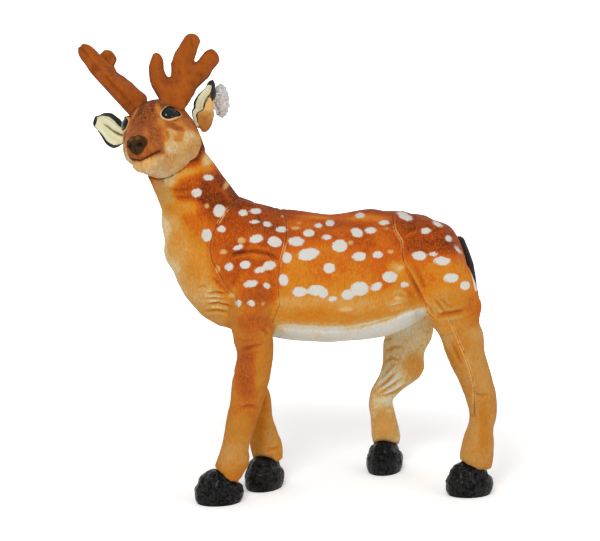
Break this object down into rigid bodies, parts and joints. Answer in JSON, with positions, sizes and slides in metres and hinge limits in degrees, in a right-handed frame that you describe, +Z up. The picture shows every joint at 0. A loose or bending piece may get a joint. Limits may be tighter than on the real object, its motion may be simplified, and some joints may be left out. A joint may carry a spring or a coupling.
{
  "type": "plush deer",
  "caption": "Standing stuffed deer toy with its head turned aside, soft antlers, cupped ears and hanging tail, on black hooves over a hidden bent wire frame.",
  "frame": {"origin": "middle of the bounding box, at the ground under the hooves", "axes": "+Z up; the deer walks towards -X and its left side is towards -Y"},
  "size_m": [0.6884, 0.2438, 0.7852],
  "materials": {
    "coat": "short golden brown plush with white spots",
    "fawn": "short tan plush",
    "white": "short off-white plush",
    "velvet": "rust brown velour",
    "dark": "black and dark brown plush",
    "lining": "cream lining cloth",
    "hoof": "black glossy leatherette",
    "eye": "glossy black",
    "plastic": "plain white plastic",
    "board": "brown fibre board",
    "steel": "plain drawn wire",
    "card": "crinkled silvery film, blank"
  },
  "bodies": {
    "deer": {"eye_left": "eye", "eye_washer_left": "plastic", "eye_right": "eye", "eye_washer_right": "plastic", "head": "coat", "nose": "dark", "chin": "fawn", "antler_left": "velvet", "antler_right": "velvet", "backbone_wire": "steel", "front_leg_wire": "steel", "hind_leg_wire": "steel", "torso": "coat", "belly_panel": "white", "neck": "coat", "hoof_fore_left": "hoof", "sole_fore_left": "hoof", "foot_board_fore_left": "board", "shoulder_left": "coat", "foreleg_left": "fawn", "hoof_hind_left": "hoof", "sole_hind_left": "hoof", "foot_board_hind_left": "board", "haunch_left": "coat", "hind_leg_left": "fawn", "hoof_fore_right": "hoof", "sole_fore_right": "hoof", "foot_board_fore_right": "board", "shoulder_right": "coat", "foreleg_right": "fawn", "hoof_hind_right": "hoof", "sole_hind_right": "hoof", "foot_board_hind_right": "board", "haunch_right": "coat", "hind_leg_right": "fawn"},
    "ear_left": {"ear_left": "dark", "ear_lining_left": "lining", "tag_fastener": "plastic"},
    "ear_right": {"ear_right": "dark", "ear_lining_right": "lining"},
    "tag": {"hang_tag": "card"},
    "tail": {"tail": "dark", "tail_underside": "velvet"}
  },
  "joints": [
    {"name": "ear_left_fold", "type": "hinge", "parent": "deer", "child": "ear_left", "pos_m": [-0.15923, -0.03862, 0.64578], "axis": [-0.0867, 0.9652, -0.2466], "range_deg": [-8, 30], "stiffness_Nm_per_rad": 0.15},
    {"name": "ear_right_fold", "type": "hinge", "parent": "deer", "child": "ear_right", "pos_m": [-0.27686, 0.02439, 0.62318], "axis": [-0.0967, 0.2329, -0.9677], "range_deg": [-8, 30], "stiffness_Nm_per_rad": 0.15},
    {"name": "tag_swing", "type": "hinge", "parent": "ear_left", "child": "tag", "pos_m": [-0.11935, -0.01109, 0.69029], "axis": [0.8924, 0.4511, 0.003], "range_deg": [-45, 45]},
    {"name": "tail_lift", "type": "hinge", "parent": "deer", "child": "tail", "pos_m": [0.30333, 0.00411, 0.42789], "axis": [0, -1, 0], "range_deg": [0, 60]}
  ]
}
